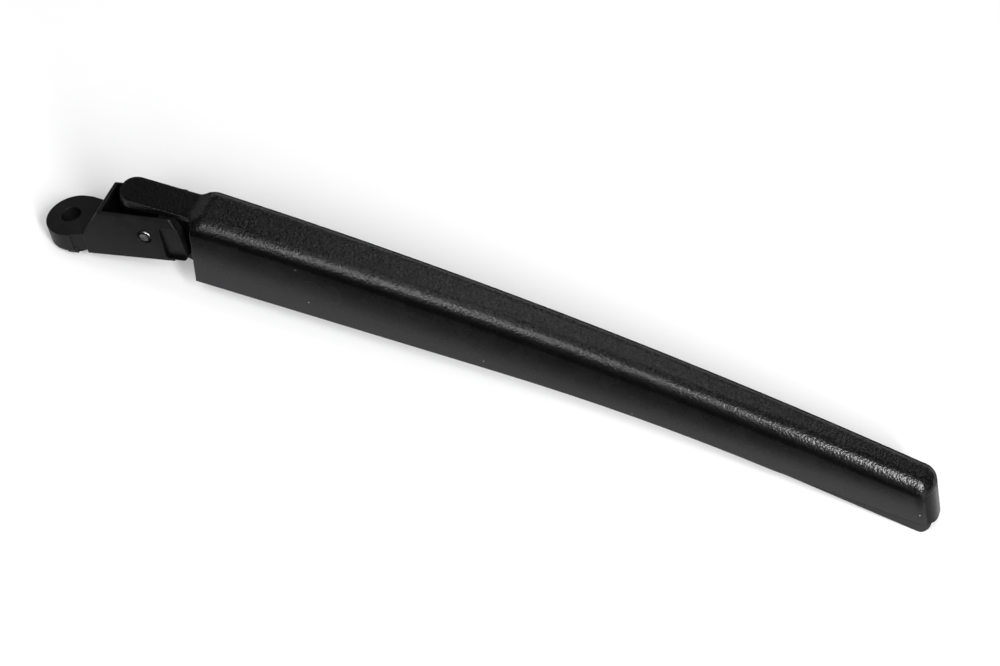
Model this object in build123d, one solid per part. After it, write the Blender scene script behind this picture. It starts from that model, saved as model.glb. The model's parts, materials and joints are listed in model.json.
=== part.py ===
from build123d import *
from math import asin, atan2, cos, degrees, hypot, radians, sin, sqrt, tan
import os

os.makedirs("parts", exist_ok=True)

# Sizes are in millimetres and degrees.
# The head is drawn from the top of its spindle bore, the arm from its pivot, both with X towards the tip.

# Spindle lug and neck
bore_radius = 4.4
lug_radius = 12.0
lug_thickness = 10.1
lug_offset = 1.4
lug_flank = 3.5
lug_sole_radius = 1.6
lug_rim_radius = 0.5
flange_length = 1.4
flange_height = 3.0
notch_length = 4.0
notch_depth = 1.9
neck_inset = 0.3

# Housing of the head
ramp_length = 10.1
rim_height = 12.7
rim_rise = 0.5
rim_thickness = 1.6
wall_half_width = 10.6
wall_draft = 4.5
housing_edge_radius = 1.0
rear_overhang = 16.6
rear_chamfer_length = 2.3
rear_chamfer_height = 7.0
rear_lean = 0.5
tail_length = 5.3
tail_lift = 2.6
heel_lift = 0.5
sole_lift = 1.9
channel_half_width = 8.55
nose_depth = 6.7
nose_setback = 3.2
floor_thickness = 3.3
window_length = 27.1
ledge_length = 8.4
ledge_half_width = 5.6
pocket_length = 8.9
pocket_depth = 1.15
pocket_top = 8.2
pocket_bottom = -7.3
pocket_corner = 1.0

# Pivot
pivot_x = 40.3
pivot_z = 2.8
pin_radius = 2.5
pin_end_chamfer = 0.45
pin_ring_width = 0.7
pin_ring_depth = 0.8
pin_fit = 0.03
side_play = 0.15
bush_wall = 0.8
bush_flange_width = 1.3
ear_inner = 2.6
ear_thickness = 2.6
ear_rim = 1.9
ear_back_x = 24.5
ear_toe_depth = 12.9

# Tongue of the arm, over the head's channel
tongue_play = 1.45
tongue_swing_gap = 0.45
tongue_height = 14.8
tongue_back_x = 16.5
tongue_back_height = 15.5
tongue_corner = 6.2
skirt_wall = 1.8
skirt_front_depth = 4.6
skirt_back_depth = 2.3
stop_gap = 0.3

# Body of the arm
droop_angle = 14.5
root_gap = 2.42
root_lean = 5.0
root_half_width = 12.2
flare_radius = 3.6
body_length = 314.8
tip_half_width = 7.9
tip_corner = 7.0
tip_lean = 14.3
crown_x = 25.0
crown_height = 18.315
crown_slope = 0.166
crown_radius = 1820.0
sole_depth = 14.9
sole_run = 132.0
sole_radius = 750.0
sole_turn = 10.0
shoulder_radius = 6.4
wall_thickness = 2.2
top_thickness = 2.4
rib_count = 4
rib_pitch = 32.0
rib_thickness = 1.8
rib_depth = 9.0
rib_corner_share = 0.6

# Blade holder at the tip
holder_length = 67.0
holder_depth = 5.8
holder_inset = 0.3
holder_setback = 1.8
holder_toe_radius = 4.0
holder_fit = 0.1
tenon_margin = 6.0
tenon_height = 12.0
slot_half_width = 3.9
slot_length = 34.0
slot_end_margin = 13.0
slot_roof = 2.0
blade_pin_radius = 2.0
blade_pin_seat = 1.6
blade_pin_rise = 4.6

# Spring gear inside the arm
anchor_radius = 8.0
anchor_angle = -100.0
anchor_pin_radius = 1.75
anchor_pin_seat = 1.6
link_half_thickness = 1.5
link_half_height = 1.6
link_length = 34.0
link_eye_rim = 1.8
link_play = 0.06
wire_radius = 1.0
coil_radius = 6.0
coil_turns = 22
hook_reach = 12.0
hook_radius = 3.0
hook_play = 0.6
loop_play = 0.3
post_x = 122.0
post_drop = 3.5
post_radius = 2.0
post_seat = 3.0
boss_radius = 4.4
boss_length = 2.6

# How far cutting shapes run past what they cut
over = 20.0


def side_prism(outline, half_width):
    return extrude(Plane.XZ * make_face(outline), half_width, both=True)


def cross_rod(x, z, radius, y_from, y_to):
    return Pos(x, (y_from + y_to) / 2, z) * Rot(90, 0, 0) * Cylinder(radius, abs(y_to - y_from))


def block(x_from, x_to, half_width, z_from, z_to):
    centre = Pos((x_from + x_to) / 2, 0, (z_from + z_to) / 2)
    return centre * Box(x_to - x_from, 2 * half_width, z_to - z_from)


# Places that several pieces share
flank_x = lug_offset + lug_flank
housing_x = flank_x + flange_length + notch_length
rim_x = housing_x + ramp_length
rear_x = pivot_x + rear_overhang
knee_x = rear_x - rear_lean
rear_top_z = rim_height + rim_rise
rear_knee_z = rear_top_z - rear_chamfer_height
lug_sole_z = -lug_thickness
tail_z = lug_sole_z + tail_lift
floor_z = lug_sole_z + floor_thickness
ledge_x = rear_x - ledge_length
pin_hole_radius = pin_radius + pin_fit
pin_reach = wall_half_width - pivot_z * tan(radians(wall_draft))
anchor_x = pivot_x + anchor_radius * cos(radians(anchor_angle))
anchor_z = pivot_z + anchor_radius * sin(radians(anchor_angle))
anchor_hole_radius = anchor_pin_radius + pin_fit
ear_outer = ear_inner + ear_thickness
bush_radius = pin_hole_radius + bush_wall
ear_hole_radius = bush_radius + pin_fit
ear_radius = ear_hole_radius + ear_rim

# The tongue just swings past the front rim
rim_reach = hypot(pivot_x - rim_x - rim_thickness, rim_height - pivot_z)
tongue_reach = sqrt((rim_reach - tongue_swing_gap) ** 2 - tongue_height**2)
tongue_half_width = channel_half_width - tongue_play
skirt_front_z = tongue_height - skirt_front_depth
skirt_back_z = tongue_back_height - skirt_back_depth
skirt_slope = (skirt_back_z - skirt_front_z) / (tongue_back_x + tongue_reach)

# The body starts clear of the head's rear corners
rear_sweep = max(hypot(rear_overhang, rear_knee_z - pivot_z), hypot(rear_overhang, tail_z - pivot_z))
root_x = rear_sweep + root_gap
end_x = root_x + body_length
sole_bend_x = root_x + sole_run
sole_bend_end_x = sole_bend_x + sole_radius * sin(radians(sole_turn))
sole_bend_drop = sole_radius * (1 - cos(radians(sole_turn)))
sole_end_z = -sole_depth - sole_bend_drop - (end_x - sole_bend_end_x) * tan(radians(sole_turn))
taper = (root_half_width - tip_half_width) / body_length
parting_z = sole_end_z + holder_depth


def skirt_z(x):
    return skirt_front_z + (x + tongue_reach) * skirt_slope


def half_width_at(x):
    return root_half_width - (x - root_x) * taper


def sole_z(x):
    if x <= sole_bend_x:
        return -sole_depth
    if x <= sole_bend_end_x:
        return -sole_depth - sole_radius + sqrt(sole_radius**2 - (x - sole_bend_x) ** 2)
    return -sole_depth - sole_bend_drop - (x - sole_bend_end_x) * tan(radians(sole_turn))


def arm_to_head(x, z):
    turn = radians(droop_angle)
    return (pivot_x + x * cos(turn) + z * sin(turn), pivot_z - x * sin(turn) + z * cos(turn))


def head_to_arm(x, z):
    turn = radians(droop_angle)
    across, up = x - pivot_x, z - pivot_z
    return (across * cos(turn) - up * sin(turn), across * sin(turn) + up * cos(turn))


def crown_z(x):
    start = sin(radians(crown_slope))
    rise = sqrt(1 - (start + (x - crown_x) / crown_radius) ** 2)
    return crown_height - crown_radius * (cos(radians(crown_slope)) - rise)


post_z = -post_drop
post_wall = half_width_at(post_x) - wall_thickness
holder_end_x = end_x - holder_setback
tenon_top = parting_z + tenon_height
blade_pin_x = holder_end_x - slot_end_margin - slot_length / 2
blade_pin_z = sole_z(blade_pin_x) + blade_pin_rise
link_hole_radius = anchor_pin_radius + link_play
hook_hole_radius = wire_radius + hook_play
loop_radius = post_radius + loop_play + wire_radius
pull_x, pull_z = head_to_arm(anchor_x, anchor_z)
pull_length = hypot(post_x - pull_x, post_z - pull_z)
pull_angle = atan2(post_z - pull_z, post_x - pull_x)


# Die-cast head: spindle lug, neck and the open housing that carries the pivot
def outer_edges(plate):
    straight_x = (lug_offset + flank_x) / 2
    return plate.edges().filter_by(lambda edge: edge.center().X < (straight_x + flank_x) / 2)


def lug():
    plate = Pos(lug_offset, 0, -lug_thickness / 2) * Cylinder(lug_radius, lug_thickness)
    plate += block(lug_offset, flank_x, lug_radius, lug_sole_z, 0)
    plate = fillet(outer_edges(plate).group_by(Axis.Z)[0], lug_sole_radius)
    plate = fillet(outer_edges(plate).group_by(Axis.Z)[-1], lug_rim_radius)
    flange_end = flank_x + flange_length
    flange_half_width = lug_radius - neck_inset
    plate += block(lug_offset, flange_end, flange_half_width, lug_sole_z, lug_sole_z + flange_height)
    return plate


def neck():
    front, rear = lug_radius - neck_inset, wall_half_width
    outline = Polyline(
        (lug_offset, front), (flank_x, front), (housing_x, rear), (rim_x, rear),
        (rim_x, -rear), (housing_x, -rear), (flank_x, -front), (lug_offset, -front), close=True,
    )
    return Pos(0, 0, lug_sole_z + notch_depth) * extrude(make_face(outline), lug_thickness - notch_depth)


def housing():
    outline = Polyline(
        (housing_x, lug_sole_z + heel_lift), (housing_x, 0), (rim_x, rim_height),
        (knee_x - rear_chamfer_length, rear_top_z), (knee_x, rear_knee_z), (rear_x, tail_z),
        (rear_x - tail_length, tail_z), (rear_x - tail_length, lug_sole_z + sole_lift), close=True,
    )
    low, high = lug_sole_z - over, rear_top_z + over
    low_half = wall_half_width - low * tan(radians(wall_draft))
    high_half = wall_half_width - high * tan(radians(wall_draft))
    section = Polyline((-low_half, low), (low_half, low), (high_half, high), (-high_half, high), close=True)
    walls = extrude(Plane.YZ * make_face(section), rear_x + over)
    shape = side_prism(outline, low_half) & walls
    soft = shape.edges().filter_by(lambda edge: edge.center().Z > lug_sole_z / 2 - housing_edge_radius)
    return fillet(soft, housing_edge_radius)


def channel():
    open_z = rear_top_z + over
    nose_x = rim_x + rim_thickness - nose_setback
    front = Polyline(
        (rim_x + rim_thickness, open_z), (rim_x + rim_thickness, rim_height),
        (nose_x, rim_height - nose_depth), (nose_x, floor_z), (ledge_x, floor_z), (ledge_x, open_z),
        close=True,
    )
    stop_front = arm_to_head(0, skirt_z(0) - stop_gap)
    stop_back = arm_to_head(root_x, skirt_z(root_x) - stop_gap)
    above_stop = Polyline(stop_front, stop_back, (stop_back[0], open_z), (stop_front[0], open_z), close=True)
    shape = side_prism(front, channel_half_width) + side_prism(above_stop, channel_half_width)
    shape += block(ledge_x - over / 2, rear_x + over, ledge_half_width, floor_z, open_z)
    shape += block(rear_x - window_length, rear_x + over, ledge_half_width, lug_sole_z - over, open_z)
    return shape


def side_pockets():
    outline = Pos(rear_x, (pocket_top + pocket_bottom) / 2) * Rectangle(
        2 * pocket_length, pocket_top - pocket_bottom
    )
    outline = fillet(outline.vertices(), pocket_corner)
    solid = extrude(Plane.XZ * outline, over, both=True)
    keep = wall_half_width - pocket_depth
    return solid - block(0, rear_x + over, keep, pocket_bottom - over, pocket_top + over)


def mounting_head():
    head = lug() + neck() + housing() - channel() - side_pockets()
    head -= Pos(0, 0, -lug_thickness / 2) * Cylinder(bore_radius, lug_thickness + over)
    head -= cross_rod(pivot_x, pivot_z, pin_hole_radius, -over, over)
    ring_floor = pin_reach - pin_ring_depth
    for side in (-1, 1):
        head -= cross_rod(pivot_x, pivot_z, pin_radius + pin_ring_width, side * ring_floor, side * over)
    anchor_end = channel_half_width + anchor_pin_seat
    return head - cross_rod(anchor_x, anchor_z, anchor_hole_radius, -anchor_end, over)


# Riveted pivot pin, its two flanged bushes and the pin that holds the spring's link in the head
def pivot_pin():
    pin = cross_rod(pivot_x, pivot_z, pin_radius, -pin_reach, pin_reach)
    return chamfer(pin.edges().filter_by(GeomType.CIRCLE), pin_end_chamfer)


def pivot_bush(side):
    flange_end = channel_half_width - side_play
    flange_radius = bush_radius + bush_flange_width
    bush = cross_rod(0, 0, bush_radius, side * ear_inner, side * ear_outer)
    bush += cross_rod(0, 0, flange_radius, side * ear_outer, side * flange_end)
    return bush - cross_rod(0, 0, pin_hole_radius, -over, over)


def link_anchor_pin():
    seat = channel_half_width + anchor_pin_seat
    return cross_rod(anchor_x, anchor_z, anchor_pin_radius, -seat, seat)


# Moulded arm: tongue, tapering channel body and the features inside it
def top_line(drop):
    slope = radians(crown_slope)
    front = (-tongue_reach - over, tongue_height - over * (tongue_back_height - tongue_height)
             / (tongue_back_x + tongue_reach) - drop)
    back = (tongue_back_x, tongue_back_height - drop)
    crown = (crown_x, crown_height - drop)
    tangents = [(back[0] - front[0], back[1] - front[1]), (cos(slope), -sin(slope))]
    turn = degrees((end_x - crown_x + over) / crown_radius)
    return [
        Line(front, back),
        Spline(back, crown, tangents=tangents),
        JernArc(crown, tangents[1], crown_radius, -turn),
    ]


def body_block(inset, drop):
    upper = top_line(drop)
    start, finish = upper[0] @ 0, upper[-1] @ 1
    low = sole_end_z - over
    rest = Polyline(finish, (finish.X, low), (start.X, low), start)
    side = side_prism(Curve() + upper + rest, root_half_width + over)
    start_half, end_half = half_width_at(start.X) - inset, half_width_at(end_x) - inset
    outline = Polyline(
        (start.X, -start_half), (end_x - inset, -end_half), (end_x - inset, end_half),
        (start.X, start_half), close=True,
    )
    plan = make_face(outline)
    plan = fillet(plan.vertices().group_by(Axis.X)[-1], tip_corner - inset)
    rise = crown_height + over - low
    shift = (parting_z - low) * tan(radians(tip_lean))
    upward = Vector(-rise * tan(radians(tip_lean)), 0, rise)
    plan_walls = Solid.extrude((Pos(shift, 0, low) * plan).face(), upward)
    shape = side & plan_walls
    tops = shape.faces().filter_by(lambda face: face.normal_at().Z > abs(face.normal_at().X))
    tops = tops.filter_by(lambda face: face.normal_at().Z > abs(face.normal_at().Y))
    rims = tops.edges().filter_by(
        lambda edge: abs(edge.center().Y) > wall_thickness or edge.center().X > end_x - over
    )
    return fillet(rims, shoulder_radius - inset)


def below_sole():
    path = [
        Line((root_x - over, -sole_depth), (sole_bend_x, -sole_depth)),
        JernArc((sole_bend_x, -sole_depth), (1, 0), sole_radius, -sole_turn),
    ]
    bend_end = path[-1] @ 1
    far_x = end_x + over
    corner = (far_x, sole_z(far_x))
    low = sole_end_z - 2 * over
    rest = Polyline(bend_end, corner, (far_x, low), (root_x - over, low), (root_x - over, -sole_depth))
    return side_prism(Curve() + path + rest, root_half_width + over)


def under_tongue():
    lean = tan(radians(root_lean))
    low = sole_end_z - over
    brow_z = skirt_z(root_x)
    front_x = -tongue_reach - over
    outline = Polyline(
        (front_x, low), (root_x - low * lean, low), (root_x - brow_z * lean, brow_z),
        (front_x, skirt_z(front_x)), close=True,
    )
    return side_prism(outline, root_half_width + over)


def beside_tongue(inset):
    edge, reach, flare = tongue_half_width - inset, tongue_reach - inset, flare_radius + inset
    wide = root_half_width + over
    back_x = root_x - skirt_z(root_x) * tan(radians(root_lean)) + inset
    tongue = Rectangle(back_x + reach + over, 2 * edge, align=(Align.MIN, Align.CENTER))
    tongue = Pos(-reach, 0) * fillet(tongue.vertices().group_by(Axis.X)[0], tongue_corner - inset)
    ahead = Rectangle(back_x + reach + 2 * over, 2 * wide, align=(Align.MAX, Align.CENTER))
    cut = Pos(back_x, 0) * ahead - tongue
    corners = cut.vertices().group_by(Axis.X)[-1].sort_by(lambda point: abs(point.Y))
    cut = fillet(corners[:2], flare)
    return Pos(0, 0, -over) * extrude(cut, crown_height + 2 * over)


def above_skirt():
    front_x, back_x = -tongue_reach - over, root_x + over
    high = crown_height + over
    outline = Polyline(
        (front_x, skirt_z(front_x)), (back_x, skirt_z(back_x)), (back_x, high), (front_x, high), close=True
    )
    return side_prism(outline, root_half_width + over)


def below_parting():
    start_x, far_x = end_x - holder_length, end_x + over
    slope = (parting_z - sole_z(start_x)) / holder_length
    low = sole_end_z - 2 * over
    outline = Polyline(
        (start_x, sole_z(start_x)), (far_x, parting_z + slope * over), (far_x, low), (start_x, low),
        close=True,
    )
    return side_prism(outline, root_half_width + over)


def hinge_ear(side):
    front_z = tongue_height - top_thickness / 2
    back_z = crown_z(ear_back_x) - top_thickness / 2
    web = Polyline(
        (-ear_radius, 0), (0, -ear_radius), (ear_back_x, -ear_toe_depth), (ear_back_x, back_z),
        (tongue_back_x, tongue_back_height - top_thickness / 2), (tongue_corner - tongue_reach, front_z),
        close=True,
    )
    profile = make_face(web) + Circle(ear_radius)
    plate = extrude(Plane.XZ * profile, ear_thickness / 2, both=True)
    plate = Pos(0, side * (ear_inner + ear_thickness / 2), 0) * plate
    return plate - cross_rod(0, 0, ear_hole_radius, -over, over)


def stiffening_rib(x):
    half = half_width_at(x) - wall_thickness / 2
    top = crown_z(x) - top_thickness / 2
    low = top - rib_depth
    cut = shoulder_radius * rib_corner_share
    outline = Polyline(
        (-half, low), (half, low), (half, top - cut), (half - cut, top),
        (cut - half, top), (-half, top - cut), close=True,
    )
    return Pos(x, 0, 0) * extrude(Plane.YZ * make_face(outline), rib_thickness / 2, both=True)


def arm_shell():
    cavity = body_block(wall_thickness, top_thickness)
    shell = body_block(0, 0) - below_sole() - under_tongue() - beside_tongue(0) - below_parting()
    shell -= cavity - (beside_tongue(skirt_wall) & above_skirt())
    boss_end = post_wall - boss_length
    for side in (-1, 1):
        shell += hinge_ear(side)
        boss_root = post_wall + wall_thickness / 2
        shell += cross_rod(post_x, post_z, boss_radius, side * boss_end, side * boss_root)
        shell -= cross_rod(post_x, post_z, post_radius + pin_fit, 0, side * (boss_end + post_seat))
    for number in range(rib_count):
        shell += stiffening_rib(post_x + rib_pitch * (number + 1))
    return shell


# Blade holder: a lip under the tip's walls and a tenon inside them, with a slot for the blade's adapter
def blade_holder():
    start_x = end_x - holder_length
    lip = body_block(holder_inset, holder_inset) & below_parting()
    lip -= below_sole()
    lip -= block(holder_end_x, end_x + over, root_half_width, sole_end_z - over, parting_z + over)
    toe = lip.edges().filter_by(Axis.Y).group_by(Axis.Z)[0]
    lip = fillet(toe, holder_toe_radius)
    tenon_back, tenon_front = start_x + tenon_margin, holder_end_x - wall_thickness
    tenon = body_block(wall_thickness + holder_fit, top_thickness + holder_fit) - below_sole()
    tenon &= block(tenon_back, tenon_front, root_half_width, sole_end_z - over, tenon_top)
    holder = lip + tenon
    slot_from = blade_pin_x - slot_length / 2
    slot_to = blade_pin_x + slot_length / 2
    holder -= block(slot_from, slot_to, slot_half_width, sole_end_z - over, tenon_top - slot_roof)
    seat = slot_half_width + blade_pin_seat
    return holder - cross_rod(blade_pin_x, blade_pin_z, blade_pin_radius + pin_fit, -seat, seat)


def blade_pin():
    seat = slot_half_width + blade_pin_seat
    return cross_rod(blade_pin_x, blade_pin_z, blade_pin_radius, -seat, seat)


# Spring gear, drawn along the line from the head's anchor to the post in the arm
def spring_post():
    seat = post_wall - boss_length + post_seat
    return cross_rod(post_x, post_z, post_radius, -seat, seat)


def spring_link():
    eye = link_hole_radius + link_eye_rim
    rear_eye = hook_hole_radius + link_eye_rim
    bar = block(0, link_length, link_half_thickness, -link_half_height, link_half_height)
    bar += cross_rod(0, 0, eye, -link_half_thickness, link_half_thickness)
    bar += cross_rod(link_length, 0, rear_eye, -link_half_thickness, link_half_thickness)
    bar -= cross_rod(0, 0, link_hole_radius, -over, over)
    return bar - cross_rod(link_length, 0, hook_hole_radius, -over, over)


def wire_along(path):
    section = Plane(origin=path @ 0, z_dir=path % 0) * Circle(wire_radius)
    return sweep(section, path=path)


def tension_spring():
    coil_from, coil_to = link_length + hook_reach, pull_length - hook_reach
    coil_path = Helix(
        (coil_to - coil_from) / coil_turns, coil_to - coil_from, coil_radius,
        center=(coil_from, 0, 0), direction=(1, 0, 0),
    )
    coil_start, coil_end = coil_path @ 0, coil_path @ 1
    bend = coil_radius - hook_radius
    hook_tip = link_length - hook_play / 2
    hook_centre = hook_tip + hook_radius
    front_path = FilletPolyline(
        coil_start, (coil_from - bend, hook_radius, 0), (hook_centre, hook_radius, 0), radius=wire_radius
    )
    front_path += ThreePointArc(
        (hook_centre, hook_radius, 0), (hook_tip, 0, 0), (hook_centre, -hook_radius, 0)
    )
    rear_path = FilletPolyline(
        coil_end, (coil_to + bend, 0, loop_radius), (pull_length, 0, loop_radius), radius=wire_radius
    )
    rear_path += ThreePointArc(
        (pull_length, 0, loop_radius), (pull_length + loop_radius, 0, 0), (pull_length, 0, -loop_radius)
    )
    spring = wire_along(coil_path)
    for path, joint in ((front_path, coil_start), (rear_path, coil_end)):
        spring += wire_along(path)
        spring += Pos(joint) * Sphere(wire_radius)
    return spring


# Rest: the lug's lower edge and the holder's toe lie on one level
lug_edge = (lug_offset - lug_radius + lug_sole_radius, lug_sole_z + lug_sole_radius)
toe_x = holder_end_x - holder_toe_radius
toe = arm_to_head(toe_x, sole_z(toe_x) + holder_toe_radius / cos(radians(sole_turn)))
span = hypot(toe[0] - lug_edge[0], toe[1] - lug_edge[1])
fall = atan2(toe[1] - lug_edge[1], toe[0] - lug_edge[0])
rest_pitch = degrees(fall + asin((lug_sole_radius - holder_toe_radius) / span))

head_place = Rot(0, rest_pitch, 0)
arm_place = head_place * Pos(pivot_x, 0, pivot_z) * Rot(0, droop_angle, 0)
pull_place = arm_place * Pos(pull_x, 0, pull_z) * Rot(0, -degrees(pull_angle), 0)

pieces = {
    "mounting_head": head_place * mounting_head(),
    "pivot_pin": head_place * pivot_pin(),
    "link_anchor_pin": head_place * link_anchor_pin(),
    "arm_shell": arm_place * arm_shell(),
    "pivot_bush_near": arm_place * pivot_bush(-1),
    "pivot_bush_far": arm_place * pivot_bush(1),
    "spring_post": arm_place * spring_post(),
    "blade_holder": arm_place * blade_holder(),
    "blade_pin": arm_place * blade_pin(),
    "spring_link": pull_place * spring_link(),
    "tension_spring": pull_place * tension_spring(),
}
for name, piece in pieces.items():
    export_step(piece, f"parts/{name}.step")
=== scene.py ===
import bmesh
import bpy
import json
from math import atan2, radians
from mathutils import Matrix, Vector

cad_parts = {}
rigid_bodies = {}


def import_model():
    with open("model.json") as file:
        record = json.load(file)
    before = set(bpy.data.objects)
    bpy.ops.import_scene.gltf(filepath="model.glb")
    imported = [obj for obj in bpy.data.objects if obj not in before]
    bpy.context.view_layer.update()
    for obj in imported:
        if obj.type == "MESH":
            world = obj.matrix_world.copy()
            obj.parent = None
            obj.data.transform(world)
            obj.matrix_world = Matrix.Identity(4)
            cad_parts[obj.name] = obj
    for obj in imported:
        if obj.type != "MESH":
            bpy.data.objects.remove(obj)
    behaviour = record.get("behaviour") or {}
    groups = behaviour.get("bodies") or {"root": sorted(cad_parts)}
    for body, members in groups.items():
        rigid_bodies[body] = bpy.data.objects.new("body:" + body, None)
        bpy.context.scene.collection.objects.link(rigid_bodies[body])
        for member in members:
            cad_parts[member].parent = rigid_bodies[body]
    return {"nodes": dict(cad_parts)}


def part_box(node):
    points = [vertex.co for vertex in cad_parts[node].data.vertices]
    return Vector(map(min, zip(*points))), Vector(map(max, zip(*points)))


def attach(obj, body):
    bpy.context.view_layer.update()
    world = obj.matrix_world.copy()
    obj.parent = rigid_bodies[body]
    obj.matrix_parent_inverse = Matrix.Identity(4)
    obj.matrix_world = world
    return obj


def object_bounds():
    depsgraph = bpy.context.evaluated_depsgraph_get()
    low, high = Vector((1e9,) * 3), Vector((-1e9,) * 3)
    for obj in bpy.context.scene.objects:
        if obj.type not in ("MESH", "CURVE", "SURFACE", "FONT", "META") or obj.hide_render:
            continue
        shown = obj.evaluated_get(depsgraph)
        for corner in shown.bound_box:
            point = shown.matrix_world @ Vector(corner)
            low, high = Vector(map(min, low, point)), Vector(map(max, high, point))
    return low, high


# empty start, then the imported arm
bpy.ops.object.select_all(action="SELECT")
bpy.ops.object.delete()
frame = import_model()
cadLow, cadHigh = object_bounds()
nodes = frame["nodes"]
print("arm loaded,", len(nodes), "nodes")


# short hands for building node trees
def startMaterial(name, colour, roughness, metallic=0.0, specular=0.5):
    material = bpy.data.materials.new(name)
    material.use_nodes = True
    tree = material.node_tree
    shader = tree.nodes["Principled BSDF"]
    shader.inputs["Base Color"].default_value = (*colour, 1)
    shader.inputs["Roughness"].default_value = roughness
    shader.inputs["Metallic"].default_value = metallic
    shader.inputs["Specular IOR Level"].default_value = specular
    return material, tree, shader


def addNode(tree, kind, inputs, **settings):
    node = tree.nodes.new(kind)
    for key, value in settings.items():
        setattr(node, key, value)
    for key, value in inputs.items():
        if isinstance(value, bpy.types.NodeSocket):
            tree.links.new(value, node.inputs[key])
        else:
            node.inputs[key].default_value = value
    return node


def calc(tree, operation, first, second=0.0):
    return addNode(tree, "ShaderNodeMath", {0: first, 1: second}, operation=operation).outputs[0]


def measure(tree, operation, first, second=(0, 0, 0)):
    return addNode(tree, "ShaderNodeVectorMath", {0: first, 1: second}, operation=operation).outputs["Value"]


def fade(tree, value, low, high, atLow=0.0, atHigh=1.0):
    inputs = {"Value": value, "From Min": low, "From Max": high, "To Min": atLow, "To Max": atHigh}
    return addNode(tree, "ShaderNodeMapRange", inputs, interpolation_type="SMOOTHSTEP").outputs["Result"]


def fadeLinear(tree, value, low, high):
    inputs = {"Value": value, "From Min": low, "From Max": high}
    return addNode(tree, "ShaderNodeMapRange", inputs).outputs["Result"]


def mixValue(tree, factor, first, second):
    inputs = {"Factor": factor, 2: first, 3: second}
    return addNode(tree, "ShaderNodeMix", inputs, data_type="FLOAT").outputs[0]


def mixColour(tree, factor, first, second):
    inputs = {"Factor": factor, 6: first, 7: second}
    return addNode(tree, "ShaderNodeMix", inputs, data_type="RGBA").outputs[2]


def grey(level):
    return (level, level, level * 1.02, 1)


def place(tree):
    return addNode(tree, "ShaderNodeTexCoord", {}).outputs["Object"]


def noise(tree, coords, scale, detail=2.0):
    inputs = {"Vector": coords, "Scale": scale, "Detail": detail}
    return addNode(tree, "ShaderNodeTexNoise", inputs).outputs["Fac"]


def softEdges(tree, radius):
    return addNode(tree, "ShaderNodeBevel", {"Radius": radius}, samples=6).outputs["Normal"]


def edgeMask(tree, rounded, low, high):
    plain = addNode(tree, "ShaderNodeNewGeometry", {}).outputs["Normal"]
    dot = measure(tree, "DOT_PRODUCT", rounded, plain)
    return fade(tree, calc(tree, "SUBTRACT", 1.0, dot), low, high)


def hollowShade(tree, reach, low, high):
    inputs = {"Distance": reach}
    hollow = addNode(tree, "ShaderNodeAmbientOcclusion", inputs, samples=6, only_local=True).outputs["AO"]
    return fade(tree, hollow, low, high)


def bump(tree, shader, height, distance, normal=None):
    inputs = {"Height": height, "Distance": distance}
    if normal:
        inputs["Normal"] = normal
    tree.links.new(addNode(tree, "ShaderNodeBump", inputs).outputs["Normal"], shader.inputs["Normal"])


def feed(tree, shader, socket, value):
    tree.links.new(value, shader.inputs[socket])


def cells(tree, coords, scale):
    return addNode(tree, "ShaderNodeTexVoronoi", {"Vector": coords, "Scale": scale}).outputs


def dress(nodeName, material):
    for slot in nodes[nodeName].material_slots:
        slot.material = material


# moulded shell: pebble grain over the crown, plain matte side walls
shellFinish = {
    "crownStart": 0.03018899,     # the crown's height line, z over x
    "crownSlope": 0.05763892,
    "crownBend": -0.27688715,
    "rootX": 0.05992,
    "rootHalf": 0.0122,           # half width there, and its taper to the tip
    "taper": 0.01366,
    "shoulder": 0.0064,
    "grainEnd": (0.0050, 0.0072),  # depth under the crown where the grain runs out
    # painted shade on the side wall: depths under the crown and their greys, lighter downwards
    "wallShadeSteps": (0.0060, 0.0110, 0.0200),
    "wallShadeGreys": (0.0016, 0.0035, 0.0080),
    "grainSize": 1150.0,           # pebbles, and the finer tooth between them
    "grainSoftness": 0.25,
    "grainSlope": -0.36,
    "toothSize": 4200.0,
    "toothSlope": 0.06,
    "skinSize": 2600.0,
    "skinSlope": 0.05,
    "grainHeight": 0.00030,
    "crownGrey": 0.0016,
    "crestGrey": 0.0130,
    "crestSize": 1200.0,
    "crestPick": (0.48, 0.68),
    "crestEnd": (0.0010, 0.0030),
    "crownRoughness": 0.27,
    "wallRoughness": 0.27,
    "patchSize": 90.0,
    "patchGrey": 0.015,
    "patchShare": 0.12,
    "patchRoughness": (-0.01, 0.015),
    "edgeRadius": 0.0004,
    "edgeHighlightGrey": 0.03,
    # painted shade inside the shell: its grey and its specular tint
    "insideShadeGrey": 0.0015,
    "insideShadeTint": 0.25,
    "insideRoughness": 0.24,
    "earHalf": 0.0058,
    "earEnd": 0.066,
    "fleckSpot": (0.3684, -0.0080, -0.0022),
    "fleckRadius": 0.00035,
    "fleckGrey": 0.4,
    "dustSize": 160.0,
    "dustReach": (0.035, 0.055),
    "dustPick": (0.55, 0.75),
    "dustShare": 0.8,
    "dustGrey": 0.30,
}


def depthUnderCrown(tree, along, height):
    use = shellFinish
    crown = calc(tree, "ADD", calc(tree, "MULTIPLY", along, use["crownBend"]), use["crownSlope"])
    crown = calc(tree, "ADD", calc(tree, "MULTIPLY", along, crown), use["crownStart"])
    return calc(tree, "SUBTRACT", crown, height)


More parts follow.
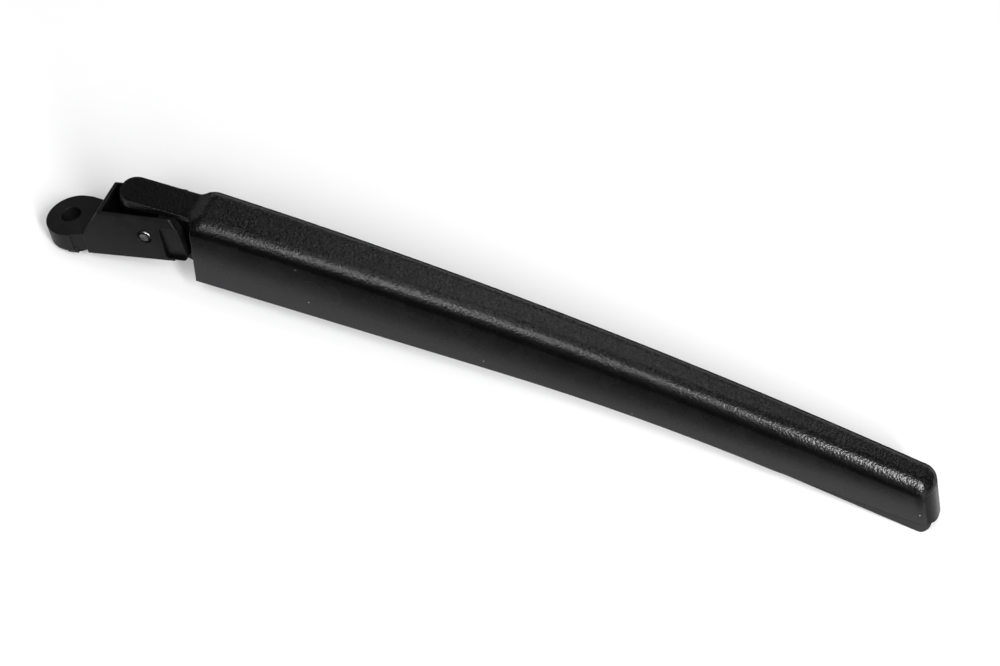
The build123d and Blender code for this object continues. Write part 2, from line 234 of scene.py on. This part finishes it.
def depthUnderSkin(tree, along, across, depth):
    # how far a point lies inside the shell's rounded outside
    use = shellFinish
    half = calc(tree, "MULTIPLY", calc(tree, "SUBTRACT", along, use["rootX"]), -use["taper"])
    half = calc(tree, "ADD", half, use["rootHalf"] - use["shoulder"])
    sideways = calc(tree, "SUBTRACT", calc(tree, "ABSOLUTE", across), half)
    upwards = calc(tree, "SUBTRACT", use["shoulder"], depth)
    corner = calc(tree, "POWER", calc(tree, "MAXIMUM", sideways, 0.0), 2.0)
    corner = calc(tree, "ADD", corner, calc(tree, "POWER", calc(tree, "MAXIMUM", upwards, 0.0), 2.0))
    corner = calc(tree, "SQRT", corner)
    flat = calc(tree, "MINIMUM", calc(tree, "MAXIMUM", sideways, upwards), 0.0)
    return calc(tree, "SUBTRACT", use["shoulder"], calc(tree, "ADD", corner, flat))


# painted shade: marks the shell's hollow channel and its ears, whose colour and specular are then darkened
def insideShadeMask(tree, along, across, depth):
    use = shellFinish
    deep = fade(tree, depthUnderSkin(tree, along, across, depth), 0.0009, 0.0014)
    channel = calc(tree, "MULTIPLY", deep, fade(tree, along, use["rootX"] + 0.001, use["rootX"] + 0.003))
    ears = calc(tree, "MULTIPLY", calc(tree, "LESS_THAN", calc(tree, "ABSOLUTE", across), use["earHalf"]),
                calc(tree, "LESS_THAN", along, use["earEnd"]))
    ears = calc(tree, "MULTIPLY", ears, fade(tree, depth, 0.0055, 0.0065))
    return calc(tree, "MAXIMUM", channel, ears)


# painted shade: ramps the wall's colour from dark under the shoulder to lighter at the bottom
def paintedWallShade(tree, depth):
    use = shellFinish
    ramp = tree.nodes.new("ShaderNodeValToRGB")
    first, last = use["wallShadeSteps"][0], use["wallShadeSteps"][-1]
    stops = ramp.color_ramp.elements
    stops.new(0.5)
    for stop, step, level in zip(stops, use["wallShadeSteps"], use["wallShadeGreys"]):
        stop.position = (step - first) / (last - first)
        stop.color = grey(level)
    tree.links.new(fadeLinear(tree, depth, first, last), ramp.inputs["Fac"])
    return ramp.outputs["Color"]


def shellGrain(tree, coords, isWall):
    use = shellFinish
    inputs = {"Vector": coords, "Scale": use["grainSize"], "Smoothness": use["grainSoftness"]}
    pebble = addNode(tree, "ShaderNodeTexVoronoi", inputs, feature="SMOOTH_F1").outputs["Distance"]
    tooth = calc(tree, "MULTIPLY", noise(tree, coords, use["toothSize"]), use["toothSlope"])
    grain = calc(tree, "ADD", calc(tree, "MULTIPLY", pebble, use["grainSlope"]), tooth)
    skin = calc(tree, "MULTIPLY", noise(tree, coords, use["skinSize"]), use["skinSlope"])
    return mixValue(tree, isWall, grain, skin)


def crownColour(tree, coords, depth):
    use = shellFinish
    crest = fade(tree, noise(tree, coords, use["crestSize"], 1.0), *use["crestPick"])
    crest = calc(tree, "MULTIPLY", crest, fade(tree, depth, *use["crestEnd"], 1.0, 0.0))
    return mixColour(tree, crest, grey(use["crownGrey"]), grey(use["crestGrey"]))


def wallColour(tree, coords, depth, patch):
    # painted shade: lighter downwards, darkest under the shoulder; also a little cloudy, with specks of dust
    use = shellFinish
    cloud = fade(tree, patch, 0.35, 0.75, 0.0, use["patchShare"])
    wall = mixColour(tree, cloud, paintedWallShade(tree, depth), grey(use["patchGrey"]))
    dust = cells(tree, coords, use["dustSize"])
    draw = addNode(tree, "ShaderNodeSeparateColor", {"Color": dust["Color"]}).outputs[0]
    speck = fade(tree, dust["Distance"], *use["dustReach"], use["dustShare"], 0.0)
    speck = calc(tree, "MULTIPLY", speck, fade(tree, draw, *use["dustPick"]))
    return mixColour(tree, speck, wall, grey(use["dustGrey"]))


def shellMaterial():
    use = shellFinish
    material, tree, shader = startMaterial("grainedShell", grey(use["crownGrey"])[:3], use["crownRoughness"])
    coords = place(tree)
    split = addNode(tree, "ShaderNodeSeparateXYZ", {"Vector": coords}).outputs
    along, across, height = split["X"], split["Y"], split["Z"]
    depth = depthUnderCrown(tree, along, height)
    isWall = fade(tree, depth, *use["grainEnd"])
    inside = insideShadeMask(tree, along, across, depth)
    patch = noise(tree, coords, use["patchSize"])
    rounded = softEdges(tree, use["edgeRadius"])
    bump(tree, shader, shellGrain(tree, coords, isWall), use["grainHeight"], rounded)
    # painted highlight on the edges, painted shade inside, and a small light fleck near the tip
    colour = mixColour(tree, isWall, crownColour(tree, coords, depth), wallColour(tree, coords, depth, patch))
    # painted highlight: edges lightened where the rounded normal turns away from the flat one
    colour = mixColour(tree, edgeMask(tree, rounded, 0.02, 0.25), colour, grey(use["edgeHighlightGrey"]))
    # painted shade inside the shell
    colour = mixColour(tree, inside, colour, grey(use["insideShadeGrey"]))
    # a small light fleck near the tip of the wall
    fleck = measure(tree, "DISTANCE", coords, use["fleckSpot"])
    fleck = fade(tree, fleck, use["fleckRadius"] * 0.6, use["fleckRadius"], 1.0, 0.0)
    feed(tree, shader, "Base Color", mixColour(tree, fleck, colour, grey(use["fleckGrey"])))
    # painted shade: specular dimmed inside the shell
    feed(tree, shader, "Specular Tint", mixColour(tree, inside, grey(1.0), grey(use["insideShadeTint"])))
    rough = mixValue(tree, isWall, use["crownRoughness"], use["wallRoughness"])
    rough = calc(tree, "ADD", rough, fade(tree, patch, 0.3, 0.7, *use["patchRoughness"]))
    feed(tree, shader, "Roughness", mixValue(tree, inside, rough, use["insideRoughness"]))
    return material


dress("arm_shell", shellMaterial())
print("shell dressed")


# blade holder: same plastic, plain, with painted shade along the seam where it meets the shell
holderFinish = {
    "grey": 0.008,
    "lightGrey": 0.012,
    "seamShadeGrey": 0.001,
    "seamStart": (0.30825, -0.00323),  # x and z of the seam's ends
    "seamEnd": (0.37538, -0.00738),
    "seamShadeDepth": (0.0004, 0.0012),
    "roughness": 0.57,
    "patchSize": 240.0,
    "skinSize": 2600.0,
    "skinHeight": 0.00002,
    "edgeRadius": 0.0004,
}


def holderMaterial():
    use = holderFinish
    material, tree, shader = startMaterial("plainHolder", grey(use["grey"])[:3], use["roughness"])
    coords = place(tree)
    split = addNode(tree, "ShaderNodeSeparateXYZ", {"Vector": coords}).outputs
    (startX, startZ), (endX, endZ) = use["seamStart"], use["seamEnd"]
    slope = (endZ - startZ) / (endX - startX)
    seam = calc(tree, "ADD", calc(tree, "MULTIPLY", split["X"], slope), startZ - slope * startX)
    below = calc(tree, "SUBTRACT", seam, split["Z"])
    patch = noise(tree, coords, use["patchSize"])
    colour = mixColour(tree, fade(tree, patch, 0.3, 0.75), grey(use["grey"]), grey(use["lightGrey"]))
    # painted shade: darkest at and above the seam line, fading out over about a millimetre below it
    colour = mixColour(tree, fade(tree, below, *use["seamShadeDepth"]), grey(use["seamShadeGrey"]), colour)
    feed(tree, shader, "Base Color", colour)
    rough = calc(tree, "ADD", fade(tree, patch, 0.3, 0.7, 0.0, 0.08), use["roughness"])
    feed(tree, shader, "Roughness", rough)
    skin = noise(tree, coords, use["skinSize"])
    bump(tree, shader, skin, use["skinHeight"], softEdges(tree, use["edgeRadius"]))
    return material


dress("blade_holder", holderMaterial())
print("holder dressed")


# cast head: dull black coat over a slightly rough casting, with painted highlight on its edges and painted
# shade in its hollows
headFinish = {
    "grey": 0.0040,
    "patchGrey": 0.0065,
    "edgeHighlightGrey": 0.025,
    "roughness": 0.42,
    "gloss": 0.28,
    "hollowShadeGrey": 0.0012,
    "hollowReach": 0.003,
    "hollowShadeTint": 0.12,
    "castHeight": 0.00005,
    "peelSize": 900.0,
    "speckSize": 4200.0,
    "speckShare": 0.4,
    "patchSize": 160.0,
    "edgeRadius": 0.00035,
}


def headMaterial():
    use = headFinish
    base = grey(use["grey"])[:3]
    material, tree, shader = startMaterial("coatedCasting", base, use["roughness"], specular=use["gloss"])
    coords = place(tree)
    peel = noise(tree, coords, use["peelSize"], 3.0)
    speck = noise(tree, coords, use["speckSize"])
    patch = noise(tree, coords, use["patchSize"], 4.0)
    rounded = softEdges(tree, use["edgeRadius"])
    colour = mixColour(tree, fade(tree, patch, 0.4, 0.8), grey(use["grey"]), grey(use["patchGrey"]))
    # painted highlight on the edges, broken up in patches
    patchyEdgeHighlight = calc(tree, "MULTIPLY", edgeMask(tree, rounded, 0.02, 0.3), fade(tree, patch, 0.25, 0.7, 0.3, 1.0))
    colour = mixColour(tree, patchyEdgeHighlight, colour, grey(use["edgeHighlightGrey"]))
    # painted shade: colour and specular darkened in hollows, creases and gaps
    openness = hollowShade(tree, use["hollowReach"], 0.35, 0.95)
    feed(tree, shader, "Base Color", mixColour(tree, openness, grey(use["hollowShadeGrey"]), colour))
    feed(tree, shader, "Specular Tint", mixColour(tree, openness, grey(use["hollowShadeTint"]), grey(1.0)))
    rough = calc(tree, "ADD", fade(tree, patch, 0.3, 0.7, -0.04, 0.08), use["roughness"])
    feed(tree, shader, "Roughness", rough)
    height = calc(tree, "ADD", peel, calc(tree, "MULTIPLY", speck, use["speckShare"]))
    bump(tree, shader, height, use["castHeight"], rounded)
    return material


dress("mounting_head", headMaterial())
print("head dressed")


# plain steel pins, turned, with hammered ends
pinFinish = {
    "grey": 0.50,
    "dark": 0.16,
    "roughness": 0.30,
    "ringSize": 1100.0,
    "ringRoughness": 0.08,
    "ringShare": 0.05,
    "stainSize": 600.0,
    "dentSize": 900.0,
    "dentHeight": 0.00009,
}


def pinMaterial(nodeName):
    use = pinFinish
    low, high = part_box(nodeName)
    middle = (low + high) / 2
    steel = grey(use["grey"])[:3]
    material, tree, shader = startMaterial("turnedSteel_" + nodeName, steel, use["roughness"], 1.0)
    inputs = {"Vector": place(tree), "Location": -middle}
    centred = addNode(tree, "ShaderNodeMapping", inputs).outputs["Vector"]
    inputs = {"Vector": centred, "Scale": use["ringSize"], "Distortion": 1.5}
    rings = addNode(tree, "ShaderNodeTexWave", inputs, wave_type="RINGS", rings_direction="Y").outputs["Fac"]
    dents = cells(tree, centred, use["dentSize"])["Distance"]
    stain = noise(tree, centred, use["stainSize"], 4.0)
    colour = mixColour(tree, fade(tree, stain, 0.45, 0.8), grey(use["grey"]), grey(use["dark"]))
    feed(tree, shader, "Base Color", colour)
    rough = calc(tree, "ADD", calc(tree, "MULTIPLY", rings, use["ringRoughness"]), use["roughness"])
    feed(tree, shader, "Roughness", rough)
    height = calc(tree, "ADD", calc(tree, "MULTIPLY", rings, use["ringShare"]), fade(tree, dents, 0.0, 0.5))
    bump(tree, shader, height, use["dentHeight"])
    return material


for pinName in ("pivot_pin", "link_anchor_pin", "spring_post", "blade_pin"):
    dress(pinName, pinMaterial(pinName))
print("pins dressed")


# riveted ends of the pivot pin, dished and hammered, one in each wall of the head
rivetPlan = {
    "radius": 0.0027,
    "depth": 0.0004,
    "sink": 0.0001,
    "rimInset": 0.00035,
    "rimRise": 0.00012,
    "crownInset": 0.0007,
    "crownRise": -0.00012,
    "dimpleInset": 0.0006,
    "dimpleRise": -0.00006,
    "dentSize": 0.0009,
    "dentDepth": 0.00012,
    "grey": 0.13,
    "stain": 0.05,
    "stainSize": 700.0,
    "roughness": 0.45,
    "metal": 0.5,
    "toothSize": 2400.0,
    "toothHeight": 0.00004,
    "rimShadeGrey": 0.004,
    "rimShadeTint": 0.1,
    "rimShadeStart": (0.00175, 0.00205),  # radii between which the face turns to the painted shade of its rim
}


def pushFace(amount, rise, side):
    bpy.ops.mesh.inset(thickness=amount, depth=0)
    bpy.ops.transform.translate(value=(0, side * rise, 0))


def addRivet(name, side):
    plan = rivetPlan
    low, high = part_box("pivot_pin")
    endY = high.y if side > 0 else low.y
    middle = (low + high) / 2
    bpy.ops.object.select_all(action="DESELECT")
    spot = (middle.x, endY + side * (plan["depth"] / 2 - plan["sink"]), middle.z)
    bpy.ops.mesh.primitive_cylinder_add(
        vertices=24, radius=plan["radius"], depth=plan["depth"], location=spot, rotation=(radians(90), 0, 0)
    )
    rivet = bpy.context.object
    rivet.name = name
    bpy.ops.object.transform_apply(location=True, rotation=True, scale=True)
    bpy.ops.object.mode_set(mode="EDIT")
    bpy.ops.mesh.select_mode(type="FACE")
    bpy.ops.mesh.select_all(action="DESELECT")
    shape = bmesh.from_edit_mesh(rivet.data)
    for face in shape.faces:
        face.select = face.normal.y * side > 0.9
    bmesh.update_edit_mesh(rivet.data)
    for part in ("rim", "crown", "dimple"):
        pushFace(plan[part + "Inset"], plan[part + "Rise"], side)
    bpy.ops.object.mode_set(mode="OBJECT")
    smooth = rivet.modifiers.new("smooth", "SUBSURF")
    smooth.levels = smooth.render_levels = 2
    bpy.ops.object.modifier_apply(modifier=smooth.name)
    dents = rivet.modifiers.new("dents", "DISPLACE")
    dents.texture = bpy.data.textures.new("hammerDents", "VORONOI")
    dents.texture.noise_scale = plan["dentSize"]
    dents.texture_coords = "LOCAL"
    dents.strength = plan["dentDepth"]
    bpy.ops.object.modifier_apply(modifier=dents.name)
    bpy.ops.object.shade_smooth_by_angle(angle=radians(50))
    return rivet


def rivetMaterial():
    use = rivetPlan
    steel = grey(use["grey"])[:3]
    material, tree, shader = startMaterial("hammeredSteel", steel, use["roughness"], use["metal"])
    coords = place(tree)
    low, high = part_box("pivot_pin")
    inputs = {"Vector": coords, "Location": -(low + high) / 2, "Scale": (1, 0, 1)}
    spoke = addNode(tree, "ShaderNodeMapping", inputs).outputs["Vector"]
    # painted shade: the rivet face darkens in colour and specular towards its rim
    rim = fade(tree, measure(tree, "LENGTH", spoke), *use["rimShadeStart"])
    stain = noise(tree, coords, use["stainSize"], 4.0)
    colour = mixColour(tree, fade(tree, stain, 0.42, 0.62), grey(use["grey"]), grey(use["stain"]))
    feed(tree, shader, "Base Color", mixColour(tree, rim, colour, grey(use["rimShadeGrey"])))
    feed(tree, shader, "Specular Tint", mixColour(tree, rim, grey(1.0), grey(use["rimShadeTint"])))
    rough = calc(tree, "ADD", fade(tree, stain, 0.3, 0.7, -0.05, 0.15), use["roughness"])
    feed(tree, shader, "Roughness", rough)
    bump(tree, shader, noise(tree, coords, use["toothSize"]), use["toothHeight"])
    return material


rivetSkin = rivetMaterial()
for rivetName, rivetSide in (("rivet_near", -1), ("rivet_far", 1)):
    newRivet = addRivet(rivetName, rivetSide)
    newRivet.data.materials.append(rivetSkin)
    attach(newRivet, "head")
print("rivets hammered")


# bearing plastic of the two bushes
bushFinish = {"grey": 0.06, "roughness": 0.42, "patchSize": 700.0, "skinSize": 3000.0, "skinHeight": 0.00002}


def bushMaterial():
    use = bushFinish
    material, tree, shader = startMaterial("bearingPlastic", grey(use["grey"])[:3], use["roughness"])
    coords = place(tree)
    patch = noise(tree, coords, use["patchSize"])
    feed(tree, shader, "Base Color", mixColour(tree, patch, grey(use["grey"] * 0.7), grey(use["grey"] * 1.3)))
    bump(tree, shader, noise(tree, coords, use["skinSize"]), use["skinHeight"])
    return material


bushSkin = bushMaterial()
for bushName in ("pivot_bush_near", "pivot_bush_far"):
    dress(bushName, bushSkin)
print("bushes dressed")


# zinc plated link and oiled spring wire
linkFinish = {"grey": 0.46, "dull": 0.3, "roughness": 0.36, "spangle": 800.0, "spangleRoughness": 0.1}
wireFinish = {
    "grey": 0.17,
    "oil": 0.07,
    "oilSize": 260.0,
    "roughness": 0.27,
    "oilRoughness": 0.15,
    "drawSize": 3800.0,
    "drawHeight": 0.00002,
}


def linkMaterial():
    use = linkFinish
    material, tree, shader = startMaterial("zincSheet", grey(use["grey"])[:3], use["roughness"], 1.0)
    coords = place(tree)
    spangle = cells(tree, coords, use["spangle"])["Color"]
    tone = addNode(tree, "ShaderNodeSeparateColor", {"Color": spangle}).outputs[0]
    feed(tree, shader, "Base Color", mixColour(tree, tone, grey(use["dull"]), grey(use["grey"])))
    rough = calc(tree, "ADD", calc(tree, "MULTIPLY", tone, use["spangleRoughness"]), use["roughness"])
    feed(tree, shader, "Roughness", rough)
    return material


def wireMaterial():
    use = wireFinish
    material, tree, shader = startMaterial("oiledWire", grey(use["grey"])[:3], use["roughness"], 1.0)
    coords = place(tree)
    film = noise(tree, coords, use["oilSize"], 4.0)
    colour = mixColour(tree, fade(tree, film, 0.4, 0.65), grey(use["grey"]), grey(use["oil"]))
    feed(tree, shader, "Base Color", colour)
    rough = calc(tree, "ADD", calc(tree, "MULTIPLY", film, use["oilRoughness"]), use["roughness"])
    feed(tree, shader, "Roughness", rough)
    bump(tree, shader, noise(tree, coords, use["drawSize"]), use["drawHeight"])
    return material


dress("spring_link", linkMaterial())
dress("tension_spring", wireMaterial())
print("link and spring dressed")


# pale floor under the arm, and dark cards beside it that only reflections see
floorPlan = {"size": 6.0, "grey": 0.86, "mirrored": 0.53}  # the second is what reflections see
cardPlan = {"from": (0.09, 0.0330), "to": (0.392, 0.0205), "length": 1.4, "depth": 0.9, "lift": 0.001}


def addSlab(name, sizeX, sizeY, centre, turn=0.0):
    bpy.ops.object.select_all(action="DESELECT")
    bpy.ops.mesh.primitive_plane_add(size=1, location=centre, rotation=(0, 0, turn))
    slab = bpy.context.object
    slab.name = name
    slab.scale = (sizeX, sizeY, 1)
    bpy.ops.object.transform_apply(location=True, rotation=True, scale=True)
    return slab


def paperMaterial():
    level = floorPlan["grey"]
    material, tree, shader = startMaterial("palePaper", (level, level, level), 0.95, specular=0.0)
    glossyRay = addNode(tree, "ShaderNodeLightPath", {}).outputs["Is Glossy Ray"]
    tone = mixColour(tree, glossyRay, (level, level, level, 1), grey(floorPlan["mirrored"]))
    feed(tree, shader, "Base Color", tone)
    return material


def addCard(name, side, skin):
    # its inner edge runs along the arm's wall, closer at the tip, and stops there
    start, end = Vector(cardPlan["from"]), Vector(cardPlan["to"])
    along = (end - start).normalized()
    outward = Vector((-along.y, along.x))
    middle = end - along * cardPlan["length"] / 2 + outward * cardPlan["depth"] / 2
    centre = (middle.x, side * middle.y, cadLow.z + cardPlan["lift"])
    card = addSlab(name, cardPlan["length"], cardPlan["depth"], centre, side * atan2(along.y, along.x))
    card.data.materials.append(skin)
    card.visible_camera = card.visible_diffuse = card.visible_shadow = False
    card.visible_transmission = card.visible_volume_scatter = False


floor = addSlab("studioFloor", floorPlan["size"], floorPlan["size"], (0.18, 0, cadLow.z))
floor.data.materials.append(paperMaterial())
cardSkin = startMaterial("blackCard", (0.0, 0.0, 0.0), 1.0, specular=0.0)[0]
addCard("darkCardNear", -1, cardSkin)
addCard("darkCardFar", 1, cardSkin)
print("floor laid")


# soft light: a strong tall box right of the camera, weaker ones left of it and lower down,
# and panels above, behind and at the head's end
lightPlan = {
    "key": {"at": (0.91, -0.87, 0.79), "aim": (0.37, 0.0, 0.00), "size": (0.22, 1.10), "power": 24.5},
    "fill": {"at": (-0.01, -0.75, 1.00), "aim": (0.16, 0.0, 0.02), "size": (0.16, 0.80), "power": 4.9},
    "low": {"at": (-0.30, -1.05, 0.60), "aim": (0.09, 0.0, 0.02), "size": (0.20, 0.70), "power": 1.4},
    "ceiling": {"at": (0.20, 0.76, 0.95), "aim": (0.20, 0.0, 0.02), "size": (0.70, 0.26), "power": 0.85},
    "top": {"at": (0.02, 0.10, 1.20), "aim": (0.15, 0.0, 0.02), "size": (0.30, 0.30), "power": 0.8},
    "back": {"at": (0.20, 1.40, 0.30), "aim": (0.20, 0.0, 0.05), "size": (2.2, 0.5), "power": 3.0},
    "end": {"at": (-1.30, 0.90, 0.50), "aim": (0.05, 0.0, 0.03), "size": (1.2, 0.8), "power": 0.8},
}
# what reflections see, what lights matte surfaces, and what shows behind the floor
roomPlan = {"seen": 0.02, "floorFill": 0.36, "behind": 0.86}


def addLight(name, plan):
    lamp = bpy.data.lights.new(name, "AREA")
    lamp.shape = "RECTANGLE"
    lamp.size, lamp.size_y = plan["size"]
    lamp.energy = plan["power"]
    holder = bpy.data.objects.new(name, lamp)
    bpy.context.scene.collection.objects.link(holder)
    holder.location = plan["at"]
    holder.rotation_euler = (Vector(plan["aim"]) - Vector(plan["at"])).to_track_quat("-Z", "Y").to_euler()


for lightName, lightUse in lightPlan.items():
    addLight(lightName + "Box", lightUse)
room = bpy.data.worlds.new("dimRoom")
room.use_nodes = True
roomTree = room.node_tree
rays = addNode(roomTree, "ShaderNodeLightPath", {}).outputs
roomTone = mixColour(roomTree, rays["Is Diffuse Ray"], grey(roomPlan["seen"]), grey(roomPlan["floorFill"]))
roomTone = mixColour(roomTree, rays["Is Camera Ray"], roomTone, grey(roomPlan["behind"]))
roomTree.links.new(roomTone, roomTree.nodes["Background"].inputs["Color"])
bpy.context.scene.world = room
bpy.context.scene.view_settings.view_transform = "Standard"
print("lights set")


# camera as in the picture
cameraPlan = {
    "at": (0.36529, -0.70760, 0.87462),
    "right": (0.9378, 0.3368, 0.0840),
    "up": (-0.3095, 0.7022, 0.6411),
    "lens": 101.52,
}


def addCamera(plan):
    eye = bpy.data.cameras.new("pictureCamera")
    eye.lens = plan["lens"]
    eye.sensor_width = 36.0
    eye.clip_start = 0.01
    holder = bpy.data.objects.new("pictureCamera", eye)
    bpy.context.scene.collection.objects.link(holder)
    right, up = Vector(plan["right"]).normalized(), Vector(plan["up"]).normalized()
    turn = Matrix((right, up, right.cross(up))).transposed()
    holder.matrix_world = Matrix.Translation(plan["at"]) @ turn.to_4x4()
    bpy.context.scene.camera = holder


addCamera(cameraPlan)
print("camera set")
